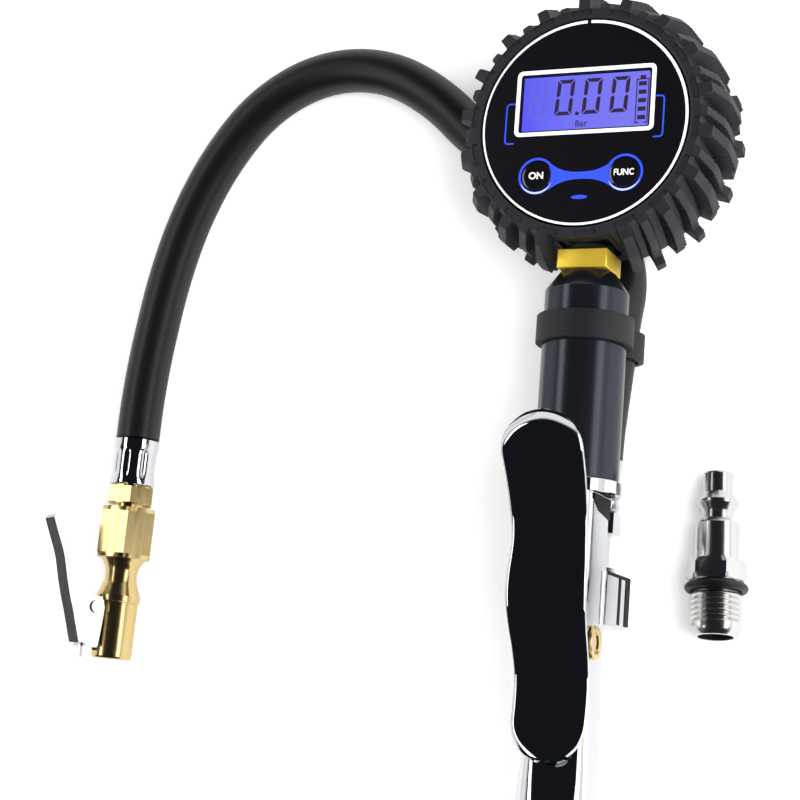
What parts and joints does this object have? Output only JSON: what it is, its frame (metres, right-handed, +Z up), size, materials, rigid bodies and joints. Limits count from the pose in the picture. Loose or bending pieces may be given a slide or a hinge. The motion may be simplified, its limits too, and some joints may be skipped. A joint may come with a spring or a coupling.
{
  "type": "tyre inflator with gauge",
  "caption": "Handheld tyre inflator: digital gauge in a tread-patterned rubber boot, thumb lever on a chromed body, short hose with clip-on chuck, and a loose inlet plug.",
  "frame": {"origin": "on the table under the body's rear boss, below the tool's axis", "axes": "+Y along the tool from the air inlet to the gauge, +Z up from the table through the gauge's face, +X to the right when the display is read"},
  "size_m": [0.204, 0.2362, 0.0605],
  "materials": {
    "boot_rubber": "matt moulded rubber",
    "black_plastic": "fine satin",
    "face_gloss": "gloss printed film",
    "window_clear": "clear",
    "lcd_glass": "backlit display",
    "board_green": "solder resist",
    "steel": "bright",
    "cell_skin": "printed sleeve",
    "nickel_plate": "nickel plated",
    "brass": "turned",
    "seal_rubber": "smooth",
    "black_anodised": "satin black anodised",
    "chrome": "polished",
    "hose_rubber": "smooth satin rubber"
  },
  "bodies": {
    "tool": {"gauge_boot": "boot_rubber", "gauge_case": "black_plastic", "battery_cover": "black_plastic", "battery_cover_screw": "steel", "face_panel": "face_gloss", "lcd_window": "window_clear", "lcd_module": "lcd_glass", "circuit_board": "board_green", "on_switch": "steel", "func_switch": "steel", "pressure_sensor": "steel", "battery_upper": "cell_skin", "battery_lower": "cell_skin", "battery_contact_left": "nickel_plate", "battery_contact_right": "nickel_plate", "gauge_stem": "brass", "stem_seal": "seal_rubber", "barrel_tube": "black_anodised", "barrel_seal": "seal_rubber", "hose_clip": "seal_rubber", "body": "chrome", "lever_pin": "brass", "lever_pin_clip": "steel", "valve_bush": "brass", "valve_spring": "steel", "inlet_filter": "steel", "hose_fitting": "brass", "hose_ferrule": "chrome", "hose": "hose_rubber", "chuck_ferrule": "chrome", "chuck_nut": "brass", "chuck_body": "brass", "chuck_seal": "seal_rubber", "clip_pivot_pin": "steel", "clip_spring": "steel"},
    "trigger": {"trigger_lever": "chrome"},
    "valve": {"valve_stem": "steel", "valve_seal": "seal_rubber"},
    "on_key": {"on_button": "black_plastic"},
    "func_key": {"func_button": "black_plastic"},
    "clip": {"clip_lever": "chrome"},
    "depressor": {"chuck_pin": "brass"},
    "loose_plug": {"inlet_plug": "nickel_plate", "plug_seal": "seal_rubber"}
  },
  "joints": [
    {"name": "trigger_hinge", "type": "hinge", "parent": "tool", "child": "trigger", "pos_m": [0, -0.006, 0.0341], "axis": [-1, 0, 0], "range_deg": [0, 8], "stiffness_Nm_per_rad": 2, "springref_deg": -2.86, "deforming": ["valve_spring"]},
    {"name": "valve_slide", "type": "slide", "parent": "tool", "child": "valve", "axis": [0, 0, -1], "range_m": [0, 0.0026]},
    {"name": "on_press", "type": "slide", "parent": "tool", "child": "on_key", "axis": [0, 0, -1], "range_m": [0, 0.0006], "stiffness_N_per_m": 800},
    {"name": "func_press", "type": "slide", "parent": "tool", "child": "func_key", "axis": [0, 0, -1], "range_m": [0, 0.0006], "stiffness_N_per_m": 800},
    {"name": "clip_hinge", "type": "hinge", "parent": "tool", "child": "clip", "pos_m": [-0.14938, -0.0029, 0.01357], "axis": [-0.7659, 0.0166, -0.6427], "range_deg": [0, 12], "stiffness_Nm_per_rad": 0.6, "springref_deg": -8.59},
    {"name": "depressor_slide", "type": "slide", "parent": "tool", "child": "depressor", "axis": [0.0216, 0.9998, 0], "range_m": [0, 0.002], "stiffness_N_per_m": 400},
    {"name": "plug_lift", "type": "slide", "parent": "tool", "child": "loose_plug", "axis": [0, 0, 1], "range_m": [0, 0.05]}
  ],
  "couplings": [
    {"joint": "valve_slide", "follows": "trigger_hinge", "m_per_rad": 0.018}
  ]
}
